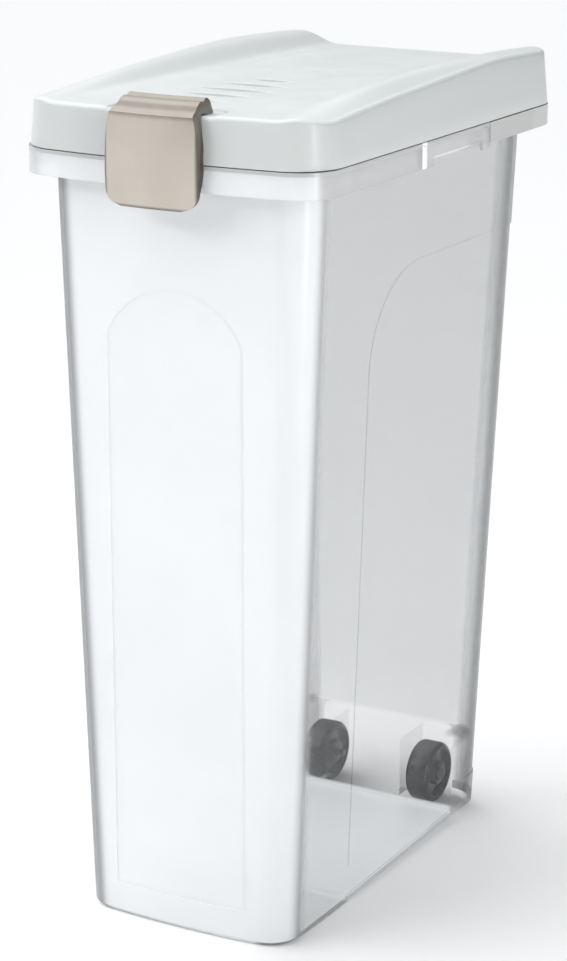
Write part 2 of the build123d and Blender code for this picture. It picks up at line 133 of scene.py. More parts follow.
def newFinish(name):  # an empty material with one shader, and where its patterns are read
    material = bpy.data.materials.new(name)
    material.use_nodes = True
    tree = material.node_tree
    tree.nodes.clear()
    shader = addNode(tree, "ShaderNodeBsdfPrincipled")
    output = addNode(tree, "ShaderNodeOutputMaterial")
    tree.links.new(shader.outputs[0], output.inputs["Surface"])
    return material, tree, shader, addNode(tree, "ShaderNodeTexCoord").outputs["Object"]


def useGroup(tree, group, place, **values):
    node = addNode(tree, "ShaderNodeGroup", node_tree=group)
    feed(tree, node.inputs["Vector"], place)
    for label, value in values.items():
        node.inputs[label.replace("_", " ")].default_value = value
    return node.outputs


def addBump(tree, shader, height, distance, strength):
    bump = addNode(tree, "ShaderNodeBump")
    bump.inputs["Distance"].default_value = distance
    bump.inputs["Strength"].default_value = strength
    feed(tree, bump.inputs["Height"], height)
    feed(tree, shader.inputs["Normal"], bump.outputs[0])


clearLook = {"tint": (0.97, 0.985, 1.0, 1), "haze": (0.94, 0.955, 0.97, 1), "paneShade": (0.27, 0.28, 0.285, 1),
             "cornerShade": (0.22, 0.225, 0.235, 1), "rimShade": (0.62, 0.625, 0.635, 1),
             "landShade": (0.5, 0.505, 0.515, 1), "bandTint": (0.55, 0.55, 0.55, 1),
             "silhouetteShade": (0.10, 0.103, 0.106, 1), "glow": (0.10, 0.102, 0.104, 1), "cornerShare": 0.85,
             "rearShare": 0.8, "edgeShare": 0.95, "rimShare": 0.8, "front": 0.72, "pane": 0.17, "lowPane": 0.10,
             "inner": 0.05, "corner": 0.5, "rear": 0.42, "flange": 0.6, "land": 0.95, "band": 0.92, "rib": 0.96,
             "base": 0.75, "edgeGain": 0.3, "edgeBlend": 0.22, "rough": 0.2, "glossDrift": 0.06, "ior": 1.49,
             "grainScale": 1400.0, "driftScale": 9.0, "bump": 0.00004, "bumpShare": 0.35}
# how the body tapers, and between which two values each zone of it begins
tubTaper = {"side": 0.0368, "endShift": 0.0083, "endLean": 0.0148, "endSpread": 0.0154, "ribY": 0.035}
tubZones = {"cornerSide": (0.058, 0.067), "cornerEnd": (0.127, 0.141), "front": (-0.145, -0.153),
            "rearEnd": (0.118, 0.150), "rearSide": (0.070, 0.080), "innerSide": (0.0795, 0.0785),
            "innerEnd": (0.1545, 0.1535), "innerTop": (0.105, 0.095), "baseTop": (0.0128, 0.0115),
            "baseSide": (0.082, 0.0805), "flange": (0.539, 0.5425), "land": (0.5568, 0.5576), "band": (0.068, 0.069),
            "rimSide": (0.109, 0.1165), "ribWidth": (0.004, 0.0034), "ribSide": (0.112, 0.114),
            "turning": (0.2, 0.55), "edge": (0.56, 0.95), "edgeLow": (0.01, 0.03), "lowPane": (0.12, 0.03),
            "rimTurn": (-0.1, -0.13)}


def clearFinish():
    look = clearLook
    material, tree, shader, place = newFinish("clearTubPlastic")
    split = addNode(tree, "ShaderNodeSeparateXYZ")
    feed(tree, split.inputs[0], place)
    across, along, up = split.outputs["X"], split.outputs["Y"], split.outputs["Z"]
    skin = useGroup(tree, grain, place, Scale=look["grainScale"], Drift_Scale=look["driftScale"])

    def both(first, second):
        return mathNode(tree, "MULTIPLY", first, second)

    def zone(value, label, share=1):
        return rangeNode(tree, value, *tubZones[label], 0, share)

    def layer(blend):
        node = addNode(tree, "ShaderNodeLayerWeight")
        node.inputs["Blend"].default_value = blend
        return node.outputs["Facing"]

    # where the parts of the tapered body are: walls, upright corners, rim, and the wheel pocket inside
    side = mathNode(tree, "ABSOLUTE", across)
    sideGap = mathNode(tree, "SUBTRACT", side, both(up, tubTaper["side"]))
    shifted = mathNode(tree, "ADD", along, tubTaper["endShift"])
    middle = mathNode(tree, "SUBTRACT", shifted, both(up, tubTaper["endLean"]))
    spread = both(up, tubTaper["endSpread"])
    endGap = mathNode(tree, "SUBTRACT", mathNode(tree, "ABSOLUTE", middle), spread)
    rearGap = mathNode(tree, "SUBTRACT", middle, spread)
    corner = both(zone(sideGap, "cornerSide"), zone(endGap, "cornerEnd"))
    notCorner = mathNode(tree, "SUBTRACT", 1.0, corner)
    front = zone(along, "front")
    rear = both(zone(rearGap, "rearEnd"), zone(sideGap, "rearSide"))
    inner = both(zone(sideGap, "innerSide"), zone(endGap, "innerEnd"))
    inner = both(both(inner, notCorner), zone(up, "innerTop"))
    base = both(zone(up, "baseTop"), zone(sideGap, "baseSide"))
    flange = zone(up, "flange")
    land = zone(up, "land")
    band = both(flange, zone(along, "band"))
    rimSide = both(flange, zone(side, "rimSide"))
    ribGap = mathNode(tree, "ABSOLUTE", mathNode(tree, "ADD", along, tubTaper["ribY"]))
    rib = both(both(flange, zone(ribGap, "ribWidth")), zone(side, "ribSide"))
    slant = layer(0.5)
    turning = zone(slant, "turning")

    dense = mixNumber(tree, zone(up, "lowPane"), look["pane"], look["lowPane"])
    for mask, label in ((inner, "inner"), (corner, "corner"), (rear, "rear"), (base, "base"),
                        (front, "front"), (flange, "flange"), (land, "land"), (band, "band"), (rib, "rib")):
        dense = mixNumber(tree, mask, dense, look[label])
    gain = both(both(layer(look["edgeBlend"]), look["edgeGain"]), mathNode(tree, "MAXIMUM", corner, front))
    feed(tree, shader.inputs["Alpha"], mathNode(tree, "ADD", dense, gain, clamp=True))

    pale = mixColour(tree, skin["Shade"], look["tint"], look["haze"])
    # painted light and shade: the front wall, the floor plate and the corners take the pale tint and the other panes
    # a dark grey, as the front is lit and the sides are in shade; the pale floor plate also covers the shadow under
    # the tub
    solid = mathNode(tree, "MAXIMUM", mathNode(tree, "MAXIMUM", front, base), corner)
    tint = mixColour(tree, solid, look["paneShade"], pale)
    # painted shade: the upright corners where they turn away, and the rear, are greyed
    tint = mixColour(tree, both(both(corner, turning), look["cornerShare"]), tint, look["cornerShade"])
    tint = mixColour(tree, both(rear, look["rearShare"]), tint, look["cornerShade"])
    # a clear wall looks a little deeper where it turns away along its skin; the dark tint there is mostly painted
    # shade at the corners' silhouettes
    deep = both(both(zone(slant, "edge", look["edgeShare"]), corner), zone(up, "edgeLow"))
    tint = mixColour(tree, deep, tint, look["silhouetteShade"])
    tint = mixColour(tree, flange, tint, pale)
    # painted shade: the rim's sides and its front where it turns away are greyed, and the land under the lid is
    # darkened for the shade in the parting line
    rimTurn = both(both(flange, turning), zone(along, "rimTurn", look["rimShare"]))
    # the rib takes the pale tint as a painted highlight on its rounded face, and the rear band a darker grey
    for mask, label in ((rimSide, "rimShade"), (rimTurn, "rimShade"), (land, "landShade"), (band, "bandTint"),
                        (rib, "tint")):
        tint = mixColour(tree, mask, tint, look[label])
    feed(tree, shader.inputs["Base Color"], tint)
    rough = mathNode(tree, "ADD", both(skin["Gloss"], look["glossDrift"]), look["rough"])
    feed(tree, shader.inputs["Roughness"], rough)
    # painted light: the floor plate glows faintly to brighten the inside of the tub, though it is no lamp
    plate = both(both(base, notCorner), mathNode(tree, "SUBTRACT", 1.0, front))
    feed(tree, shader.inputs["Emission Color"], mixColour(tree, plate, (0, 0, 0, 1), look["glow"]))
    shader.inputs["Emission Strength"].default_value = 1.0
    shader.inputs["IOR"].default_value = look["ior"]
    addBump(tree, shader, skin["Height"], look["bump"], look["bumpShare"])
    return material


def mouldedFinish(name, look):  # satin plastic with fine grain, slow colour drift and rubbed edges
    material, tree, shader, place = newFinish(name)
    skin = useGroup(tree, grain, place, Scale=look["grainScale"], Drift_Scale=look["driftScale"])
    rubbedMask = useGroup(tree, edgeWearAndShade, place, Amount=look["edgeWearAndShade"])["Mask"]
    colour = mixColour(tree, skin["Shade"], look["colour"], look["drift"])
    if "upright" in look:  # painted shade: the upright sides and the rails' slopes are darkened, and the grooves and the finger recess's outline darkened further
        facing = addNode(tree, "ShaderNodeSeparateXYZ")
        feed(tree, facing.inputs[0], addNode(tree, "ShaderNodeTexCoord").outputs["Normal"])
        upright = rangeNode(tree, facing.outputs["Z"], *look["uprightFrom"], 1, 0)
        sloping = rangeNode(tree, facing.outputs["Z"], *look["slopeFrom"], look["slopeShare"], 0)
        colour = mixColour(tree, mathNode(tree, "MAXIMUM", upright, sloping), colour, look["upright"])
        hollow = addNode(tree, "ShaderNodeAttribute", attribute_name="hollow").outputs["Fac"]
        colour = mixColour(tree, hollow, colour, look["hollowShade"])
    feed(tree, shader.inputs["Base Color"], mixColour(tree, rubbedMask, colour, look["rubbed"]))
    rough = mathNode(tree, "ADD", mathNode(tree, "MULTIPLY", skin["Gloss"], look["glossDrift"]), look["rough"])
    polish = mathNode(tree, "MULTIPLY", rubbedMask, 0.08)
    feed(tree, shader.inputs["Roughness"], mathNode(tree, "SUBTRACT", rough, polish))
    shader.inputs["IOR"].default_value = look["ior"]
    addBump(tree, shader, skin["Height"], look["bump"], 0.5)
    return material


lidLook = {"upright": (0.60, 0.62, 0.615, 1), "hollowShade": (0.24, 0.26, 0.27, 1),
           "uprightFrom": (0.35, 0.85), "slopeFrom": (0.91, 0.985), "slopeShare": 0.4,
           "colour": (0.755, 0.79, 0.79, 1), "drift": (0.78, 0.81, 0.81, 1), "rubbed": (0.82, 0.85, 0.85, 1),
           "grainScale": 1100.0, "driftScale": 14.0, "edgeWearAndShade": 0.4, "rough": 0.3, "glossDrift": 0.07,
           "ior": 1.5, "bump": 0.00005}
wheelLook = {"colour": (0.012, 0.0115, 0.01, 1), "drift": (0.018, 0.017, 0.015, 1), "rubbed": (0.09, 0.09, 0.082, 1),
             "grainScale": 1500.0, "driftScale": 60.0, "edgeWearAndShade": 0.6, "rough": 0.2, "glossDrift": 0.03,
             "ior": 1.5, "bump": 0.00005}
axleLook = {"colour": (0.08, 0.078, 0.07, 1), "drift": (0.11, 0.107, 0.098, 1), "rubbed": (0.2, 0.2, 0.19, 1),
            "grainScale": 1800.0, "driftScale": 120.0, "edgeWearAndShade": 0.6, "rough": 0.36, "glossDrift": 0.1,
            "ior": 1.5, "bump": 0.00005}
sealLook = {"colour": (0.56, 0.58, 0.57, 1), "drift": (0.62, 0.64, 0.63, 1), "rubbed": (0.70, 0.72, 0.72, 1),
            "grainScale": 900.0, "driftScale": 40.0, "edgeWearAndShade": 0.3, "rough": 0.62, "glossDrift": 0.12,
            "ior": 1.42, "bump": 0.00009}
latchLook = {"colour": (0.55, 0.505, 0.44, 1), "drift": (0.59, 0.545, 0.475, 1), "glint": (0.80, 0.76, 0.70, 1),
             "top": (0.29, 0.255, 0.215, 1), "crease": (0.13, 0.11, 0.09, 1), "edge": (0.11, 0.09, 0.072, 1),
             "side": (0.24, 0.21, 0.18, 1), "metallic": 0.45, "rough": 0.34, "glossDrift": 0.08, "coat": 0.25,
             "coatRough": 0.18, "creaseShare": 0.7, "borderShare": 0.75, "glintShare": 0.10, "roundedEdgeShade": 0.9,
             "flakeScale": 3200.0, "grainScale": 2600.0, "driftScale": 30.0, "bump": 0.00003}
# where the latch's top, crease and borders begin, as heights or half widths, and its ends as a direction
latchZones = {"top": (0.5885, 0.5935), "creaseLow": (0.5945, 0.5965), "creaseHigh": (0.5995, 0.5975),
              "end": (0.45, 0.85), "border": (0.0334, 0.0354), "foot": (0.5325, 0.5303), "face": (0.592, 0.588)}
pinLook = {"colour": (0.60, 0.59, 0.57, 1), "streak": (0.48, 0.47, 0.45, 1), "rough": 0.28, "glossDrift": 0.2,
           "stretch": (60.0, 3000.0, 3000.0), "bump": 0.00004}


def pearlFinish():  # taupe pearl paint: fine flakes under a clear coat, with painted shade on its top, crease, ends, borders and rounded edges
    look = latchLook
    material, tree, shader, place = newFinish("taupePearlPaint")
    skin = useGroup(tree, grain, place, Scale=look["grainScale"], Drift_Scale=look["driftScale"])
    roundedEdgeShade = useGroup(tree, edgeWearAndShade, place, Amount=look["roundedEdgeShade"])["Mask"]
    flake = addNode(tree, "ShaderNodeTexVoronoi")
    feed(tree, flake.inputs["Vector"], place)
    flake.inputs["Scale"].default_value = look["flakeScale"]
    split = addNode(tree, "ShaderNodeSeparateXYZ")
    feed(tree, split.inputs[0], place)
    up = split.outputs["Z"]
    facing = addNode(tree, "ShaderNodeSeparateXYZ")
    feed(tree, facing.inputs[0], addNode(tree, "ShaderNodeTexCoord").outputs["Normal"])

    def both(first, second):
        return mathNode(tree, "MULTIPLY", first, second)

    def zone(value, label, share=1):
        return rangeNode(tree, value, *latchZones[label], 0, share)

    colour = mixColour(tree, skin["Shade"], look["colour"], look["drift"])
    # painted shade: the lip and top darken by height
    colour = mixColour(tree, zone(up, "top"), colour, look["top"])
    # painted shade in the crease along the top
    crease = both(zone(up, "creaseLow"), zone(up, "creaseHigh"))
    colour = mixColour(tree, both(crease, look["creaseShare"]), colour, look["crease"])
    # painted shade on the ends, picked out by which way they face
    ends = zone(mathNode(tree, "ABSOLUTE", facing.outputs["X"]), "end")
    colour = mixColour(tree, ends, colour, look["side"])
    # painted shade along the side borders and the foot of the face
    uprights = zone(mathNode(tree, "ABSOLUTE", split.outputs["X"]), "border", look["borderShare"])
    border = mathNode(tree, "MAXIMUM", uprights, zone(up, "foot", look["borderShare"]))
    colour = mixColour(tree, both(border, zone(up, "face")), colour, look["edge"])
    glint = rangeNode(tree, flake.outputs["Distance"], 0.05, 0.5, look["glintShare"], 0.0)
    colour = mixColour(tree, glint, colour, look["glint"])
    # painted shade on the sharp rounded edges
    feed(tree, shader.inputs["Base Color"], mixColour(tree, roundedEdgeShade, colour, look["edge"]))
    shader.inputs["Metallic"].default_value = look["metallic"]
    rough = mathNode(tree, "ADD", both(skin["Gloss"], look["glossDrift"]), look["rough"])
    feed(tree, shader.inputs["Roughness"], rough)
    shader.inputs["Coat Weight"].default_value = look["coat"]
    shader.inputs["Coat Roughness"].default_value = look["coatRough"]
    addBump(tree, shader, skin["Height"], look["bump"], 0.4)
    return material


def steelFinish():  # drawn wire: streaks along the pin
    look = pinLook
    material, tree, shader, place = newFinish("drawnSteel")
    streak = noiseNode(tree, place, 1.0, 3.0, look["stretch"])
    feed(tree, shader.inputs["Base Color"], mixColour(tree, streak, look["colour"], look["streak"]))
    drift = mathNode(tree, "MULTIPLY", streak, look["glossDrift"])
    feed(tree, shader.inputs["Roughness"], mathNode(tree, "ADD", drift, look["rough"]))
    shader.inputs["Metallic"].default_value = 1.0
    addBump(tree, shader, streak, look["bump"], 0.4)
    return material


finishes = {"clear": clearFinish(), "lid": mouldedFinish("paleLidPlastic", lidLook), "latch": pearlFinish(),
            "wheel": mouldedFinish("greyWheelPlastic", wheelLook), "axle": mouldedFinish("axlePlastic", axleLook),
            "seal": mouldedFinish("softSealRubber", sealLook), "steel": steelFinish()}
print("finishes ready:", len(finishes))

millimetre = 0.001


def makePiece(bm, name, body, finish, node=None, sharp=32.0, inMillimetres=True):
    if inMillimetres:
        bmesh.ops.scale(bm, verts=bm.verts, vec=(millimetre, millimetre, millimetre))
    mesh = bpy.data.meshes.new(name)
    bm.to_mesh(mesh)
    bm.free()
    if "custom_normal" in mesh.attributes:
        mesh.attributes.remove(mesh.attributes["custom_normal"])
    piece = bpy.data.objects.new(name, mesh)
    scene.collection.objects.link(piece)
    mesh.materials.clear()
    mesh.materials.append(finishes[finish])
    mesh.shade_smooth()
    mesh.set_sharp_from_angle(angle=math.radians(sharp))
    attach(piece, body)
    if node:
        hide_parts(node)
    print("made", name, len(mesh.polygons), "faces")
    return piece


def lookUp(index, stops):  # the value between two stops
    for (low, lowValue), (high, highValue) in zip(stops, stops[1:]):
        if index <= high:
            return lowValue + (highValue - lowValue) * (index - low) / (high - low)
    return stops[-1][1]


def eased(value, low, high):
    share = min(max((value - low) / (high - low), 0.0), 1.0)
    return share * share * (3 - 2 * share)


def growRow(bm, rim, step):  # one more row of faces along an open loop of edges
    grown = bmesh.ops.extrude_edge_only(bm, edges=rim)["geom"]
    fresh = {item for item in grown if isinstance(item, bmesh.types.BMVert)}
    bmesh.ops.translate(bm, verts=list(fresh), vec=step)
    return [item for item in grown if isinstance(item, bmesh.types.BMEdge) and fresh.issuperset(item.verts)]


def openEdges(bm):
    return [edge for edge in bm.edges if len(edge.link_faces) == 1]


def gridOf(columns, rows):  # a flat grid whose lines stand at the stops' values
    bm = bmesh.new()
    across, along = columns[-1][0] * 2, rows[-1][0]
    bmesh.ops.create_grid(bm, x_segments=across, y_segments=along, size=1.0)
    for vert in bm.verts:
        side = lookUp(abs(vert.co.x) * across / 2, columns)
        vert.co = (math.copysign(side, vert.co.x), lookUp((vert.co.y + 1) / 2 * along, rows), 0)
    return bm


bowReach = 38  # how far back the front's bow is felt


def planPoint(x, y, inset, plan):  # draws a grid point in by the inset, with rounded corners and a bowed front
    radius = plan["radius"] - inset
    shrink = radius / plan["radius"]
    innerSide = plan["half"] - plan["radius"]
    innerFront, innerBack = plan["front"] + plan["radius"], plan["back"] - plan["radius"]
    sideStep = max(abs(x) - innerSide, 0) * shrink
    endStep = (max(y - innerBack, 0) + min(y - innerFront, 0)) * shrink
    if sideStep and endStep:
        pull = max(sideStep, abs(endStep)) / math.hypot(sideStep, endStep)
        sideStep, endStep = sideStep * pull, endStep * pull
    x = math.copysign(min(abs(x), innerSide) + sideStep, x)
    y0 = min(max(y, innerFront), innerBack) + endStep
    bow = plan["bow"] * (1 - (x / plan["half"]) ** 2) * min(max((plan["front"] + bowReach - y) / bowReach, 0), 1)
    return x, y0 - bow


rimPlan = {"half": 119.5, "front": -182.75, "back": 190.75, "bow": 8.0, "radius": 30.0}
neckPlan = {"half": 104.9, "front": -168.15, "back": 168.0, "bow": 5.0, "radius": 24.0}

lidForm = {"bottom": 560.6, "wall": 2.6, "taper": 0.0875, "edge": 3.0, "floorPeak": 594.6, "floorPeakY": -50.0,
           "floorSweep": 7000.0, "railPeak": 605.0, "railPeakY": 30.0, "railSweep": 2300.0, "railFoot": 62.0,
           "railCrest": 100.0, "railHeight": 11.5, "shoulder": 2.5, "bevelHeight": 597.2, "bevelRise": 0.0428,
           "bevelSlope": 0.41, "grooveFirst": -37.0, "groovePitch": 25.0, "grooveHalves": (17, 27, 32, 27, 17),
           "grooveHalfWidth": 4.4, "grooveDepth": 1.5, "grooveTip": 2.2, "fingerHalf": 42.0, "fingerBack": -164.0,
           "fingerFloor": 592.2, "fingerRound": 9.0, "shoulderWidth": 17.5, "floorSoft": 1.5, "bevelSoft": 1.0,
           "frontSoft": 4.0, "softFrom": 70.0, "softTo": 165.0, "grooveShade": 0.9, "lineShade": 0.6, "lineWidth": 1.6,
           "edgeInset": 6.4, "liningTop": 602.0, "liningGap": 2.0}
lidColumns = ((0, 0.0), (12, 32.0), (20, 45.0), (24, 60.0), (38, 89.5), (48, 119.5))
lidRows = ((0, -182.75), (20, -152.75), (26, -143.0), (138, -31.0), (186, 160.75), (198, 190.75))


def lidTop(x, y):  # height of the lid's top: channel floor, side rails, bevels, grip grooves and finger recess
    form = lidForm
    floor = form["floorPeak"] - (y - form["floorPeakY"]) ** 2 / (2 * form["floorSweep"])
    side = abs(x)
    rail = -form["railHeight"] * (1 - eased(side, form["railFoot"], form["railCrest"]))
    rail -= form["shoulder"] * (max(side - form["railCrest"], 0) / form["shoulderWidth"]) ** 2
    rail += form["railPeak"] - (y - form["railPeakY"]) ** 2 / (2 * form["railSweep"])
    top = floor if side < form["railFoot"] else blendMax(floor, rail, form["floorSoft"])
    bevel = form["bevelHeight"] + form["bevelRise"] * y + form["bevelSlope"] * (rimPlan["half"] - side)
    softness = form["bevelSoft"] + form["frontSoft"] * eased(-y, form["softFrom"], form["softTo"])
    top = -blendMax(-top, -bevel, softness)
    top -= form["grooveDepth"] * grooveShare(x, y)
    return top + (min(form["fingerFloor"], top) - top) * eased(-fingerGap(x, y), -0.6, 1.0)


def fingerGap(x, y):  # how far a point is outside the outline of the finger recess
    form = lidForm
    sideGap = max(abs(x) - form["fingerHalf"] + form["fingerRound"], 0)
    backGap = max(y - form["fingerBack"] + form["fingerRound"], 0)
    return math.hypot(sideGap, backGap) - form["fingerRound"]


def grooveShare(x, y):  # 1 at the bottom of a grip groove, 0 outside all of them
    for number, half in enumerate(lidForm["grooveHalves"]):
        offset = y - lidForm["grooveFirst"] + number * lidForm["groovePitch"]
        width = lidForm["grooveHalfWidth"] * (1 - (x / half) ** 2)
        if abs(offset) < width:
            return (1 - (offset / width) ** 2) * min(width / lidForm["grooveTip"], 1)
    return 0.0


def blendMax(first, second, softness):  # the higher of two, with a rounded meeting
    return (first + second + math.sqrt((first - second) ** 2 + softness ** 2)) / 2


def makeLid():
    bm = gridOf(lidColumns, lidRows)
    topFaces = list(bm.faces)
    lining = bmesh.ops.duplicate(bm, geom=bm.verts[:] + bm.edges[:] + topFaces)["geom"]
    liningVerts = [item for item in lining if isinstance(item, bmesh.types.BMVert)]
    liningFaces = [item for item in lining if isinstance(item, bmesh.types.BMFace)]
    bmesh.ops.reverse_faces(bm, faces=liningFaces)
    rim = [edge for edge in openEdges(bm) if edge.link_faces[0] in set(topFaces)]
    turn, drop = 6, 4
    lastRow = turn + drop + 4 + drop + 1
    for _ in range(lastRow):
        rim = growRow(bm, rim, (0, 0, 1))
    bmesh.ops.translate(bm, verts=liningVerts, vec=(0, 0, lastRow))
    bmesh.ops.remove_doubles(bm, verts=bm.verts, dist=0.0001)
    low, wall, edgeRound, taper = lidForm["bottom"], lidForm["wall"], lidForm["edge"], lidForm["taper"]

    def place(x, y, row):
        guess = lidTop(*planPoint(x, y, lidForm["edgeInset"], rimPlan))
        lean = taper * (guess - low)
        if row == 0:
            spot = planPoint(x, y, lean + edgeRound, rimPlan)
            return (*spot, lidTop(*spot))
        if row == lastRow:
            spot = planPoint(x, y, lean + wall + edgeRound, rimPlan)
            return (*spot, min(lidTop(*spot) - wall, lidForm["liningTop"]))
        edgeSpot = planPoint(x, y, lean + edgeRound, rimPlan)
        top = lidTop(*edgeSpot)
        if row <= turn:
            angle = math.pi / 2 * row / turn
            height = top - edgeRound * (1 - math.cos(angle))
            inset = taper * (height - low) + edgeRound * (1 - math.sin(angle))
        elif row <= turn + drop:
            height = top - edgeRound + (low + 0.5 - top + edgeRound) * (row - turn) / drop
            inset = taper * (height - low)
        elif row <= turn + drop + 4:
            height = low + (0.12, 0.0, 0.0, 0.5)[int(row) - turn - drop - 1]
            inset = (0.12, 0.5, wall - 0.5, wall)[int(row) - turn - drop - 1]
        else:
            share = (row - turn - drop - 4) / drop
            height = low + 0.5 + (top - wall - lidForm["liningGap"] - low - 0.5) * share
            inset = wall + taper * (height - low)
        return (*planPoint(x, y, inset, rimPlan), height)

    hollow = bm.verts.layers.float.new("hollow")
    for vert in bm.verts:
        onTop = round(vert.co.z) == 0
        vert.co = place(vert.co.x, vert.co.y, round(vert.co.z))
        x, y, _ = vert.co
        # painted shade in the grip grooves and along the finger recess's outline
        line = lidForm["lineShade"] * max(1 - abs(fingerGap(x, y)) / lidForm["lineWidth"], 0)
        vert[hollow] = max(lidForm["grooveShade"] * grooveShare(x, y) ** 0.35, line) if onTop else 0.0
    bmesh.ops.recalc_face_normals(bm, faces=bm.faces)
    makePiece(bm, "lidShell", "lid", "lid", "lid", sharp=40.0)


makeLid()


def sweptRing(plan, section, across=14, along=20):  # a closed section of (inset, height) points taken round a plan
    centre = plan["half"] - plan["radius"]
    columns = ((0, 0.0), (across, centre), (across + 8, plan["half"]))
    rows = ((0, plan["front"]), (8, plan["front"] + plan["radius"]), (8 + along, plan["back"] - plan["radius"]),
            (16 + along, plan["back"]))
    bm = gridOf(columns, rows)
    startFaces = list(bm.faces)
    rim = openEdges(bm)
    for _ in section:
        rim = growRow(bm, rim, (0, 0, 1))
    bmesh.ops.delete(bm, geom=startFaces, context="FACES")
    for vert in bm.verts:
        inset, height = section[round(vert.co.z) % len(section)]
        vert.co = (*planPoint(vert.co.x, vert.co.y, inset, plan), height)
    bmesh.ops.remove_doubles(bm, verts=bm.verts, dist=0.0005)
    bmesh.ops.recalc_face_normals(bm, faces=bm.faces)
    return bm


def roundEdges(bm, edges, offset, segments=3):
    bmesh.ops.bevel(bm, geom=list(edges), offset=offset, segments=segments, profile=0.5, affect="EDGES",
                    material=-1, clamp_overlap=True)


sealForm = {"low": 567.4, "top": 573.0, "inner": 2.8, "outer": -0.4, "ribWall": 2.2, "ribLow": 569.0, "ribTop": 590.4}


def makeSeal():
    low, top, inner, outer = sealForm["low"], sealForm["top"], sealForm["inner"], sealForm["outer"]
    middle = (inner + outer) / 2
    ring = ((outer, low + 1.2), (outer + 0.5, low + 0.3), (middle, low), (inner - 0.5, low + 0.3),
            (inner, low + 1.2), (inner, top), (outer, top))
    makePiece(sweptRing(neckPlan, ring), "sealRing", "lid", "seal", "lid_seal", sharp=50.0)
    for name, near in (("sealRibOuter", outer - sealForm["ribWall"]), ("sealRibInner", inner)):
        far = near + sealForm["ribWall"]
        ribLow, ribTop = sealForm["ribLow"], sealForm["ribTop"]
        rib = ((near + 0.3, ribLow), (far - 0.3, ribLow), (far, ribLow + 0.3), (far, ribTop), (near, ribTop),
               (near, ribLow + 0.3))
        makePiece(sweptRing(neckPlan, rib), name, "lid", "lid", sharp=50.0)


makeSeal()


def plateOf(outline, near, far, roundBy):  # a side outline of (y, z) points made a plate between two x values
    bm = bmesh.new()
    face = bm.faces.new([bm.verts.new((near, y, z)) for y, z in outline])
    grown = bmesh.ops.extrude_face_region(bm, geom=[face])["geom"]
    moved = [item for item in grown if isinstance(item, bmesh.types.BMVert)]
    bmesh.ops.translate(bm, verts=moved, vec=(far - near, 0, 0))
    bmesh.ops.recalc_face_normals(bm, faces=bm.faces)
    roundEdges(bm, bm.edges, roundBy, 2)
    return bm


hingeForm = {"y": 196.4, "z": 555.0, "x": 62.0, "knuckle": 4.6, "width": 24.0}


def makeKnuckles():
    y0, z0, reach = hingeForm["y"], hingeForm["z"], hingeForm["knuckle"]
    lower = [(y0 + reach * math.cos(math.radians(angle)), z0 + reach * math.sin(math.radians(angle)))
             for angle in range(180, 361, 20)]
    outline = lower + [(y0 + reach, 556.0), (191.6, 574.4), (188.7, 574.4), (188.7, 561.2), (y0 - reach, 561.2)]
    for name, side in (("hingeKnuckleLeft", -1), ("hingeKnuckleRight", 1)):
        middle = side * hingeForm["x"]
        makePiece(plateOf(outline, middle - hingeForm["width"] / 2, middle + hingeForm["width"] / 2, 0.35),
                  name, "lid", "lid")


makeKnuckles()

latchForm = {"face": -201.0, "bow": 2.6, "bowHalf": 37.0, "skin": 2.5, "hollowTop": 587.0, "hollowBack": -198.9,
             "foot": 530.0, "splitBelow": 545.0, "flatColumns": 8, "edge": 1.1, "cornerRound": 12.0,
             "widths": ((530.0, 35.4), (543.0, 35.8), (556.0, 36.0), (570.0, 35.6), (583.0, 34.6), (590.5, 33.2),
                        (595.0, 31.4), (597.0, 30.5), (600.0, 30.4), (603.0, 29.4), (606.0, 28.0)),
             "columns": ((0, 0.0), (6, 0.86), (8, 0.905), (9, 0.93), (11, 1.0))}
latchProfile = (  # side view, from the foot of the face up over the lip and back down the inside
    (-200.2, 530.0), (-200.75, 541.0), (-200.95, 552.0), (-201.0, 563.0), (-200.9, 574.0), (-200.4, 584.0),
    (-199.4, 592.4), (-197.4, 594.2), (-193.6, 595.6), (-190.6, 597.9), (-188.0, 600.0), (-185.4, 601.1),
    (-183.3, 601.15), (-182.8, 600.35), (-182.0, 600.7), (-177.4, 602.8), (-175.4, 602.3), (-174.0, 601.0),
    (-173.4, 599.0), (-173.2, 593.2), (-174.6, 591.6), (-179.3, 591.5), (-184.5, 593.4), (-187.2, 593.4),
    (-189.6, 592.5), (-190.9, 589.7), (-191.5, 586.0), (-191.5, 573.0), (-191.5, 560.0), (-193.2, 553.0),
    (-195.0, 547.0), (-196.7, 538.5), (-198.4, 530.0))


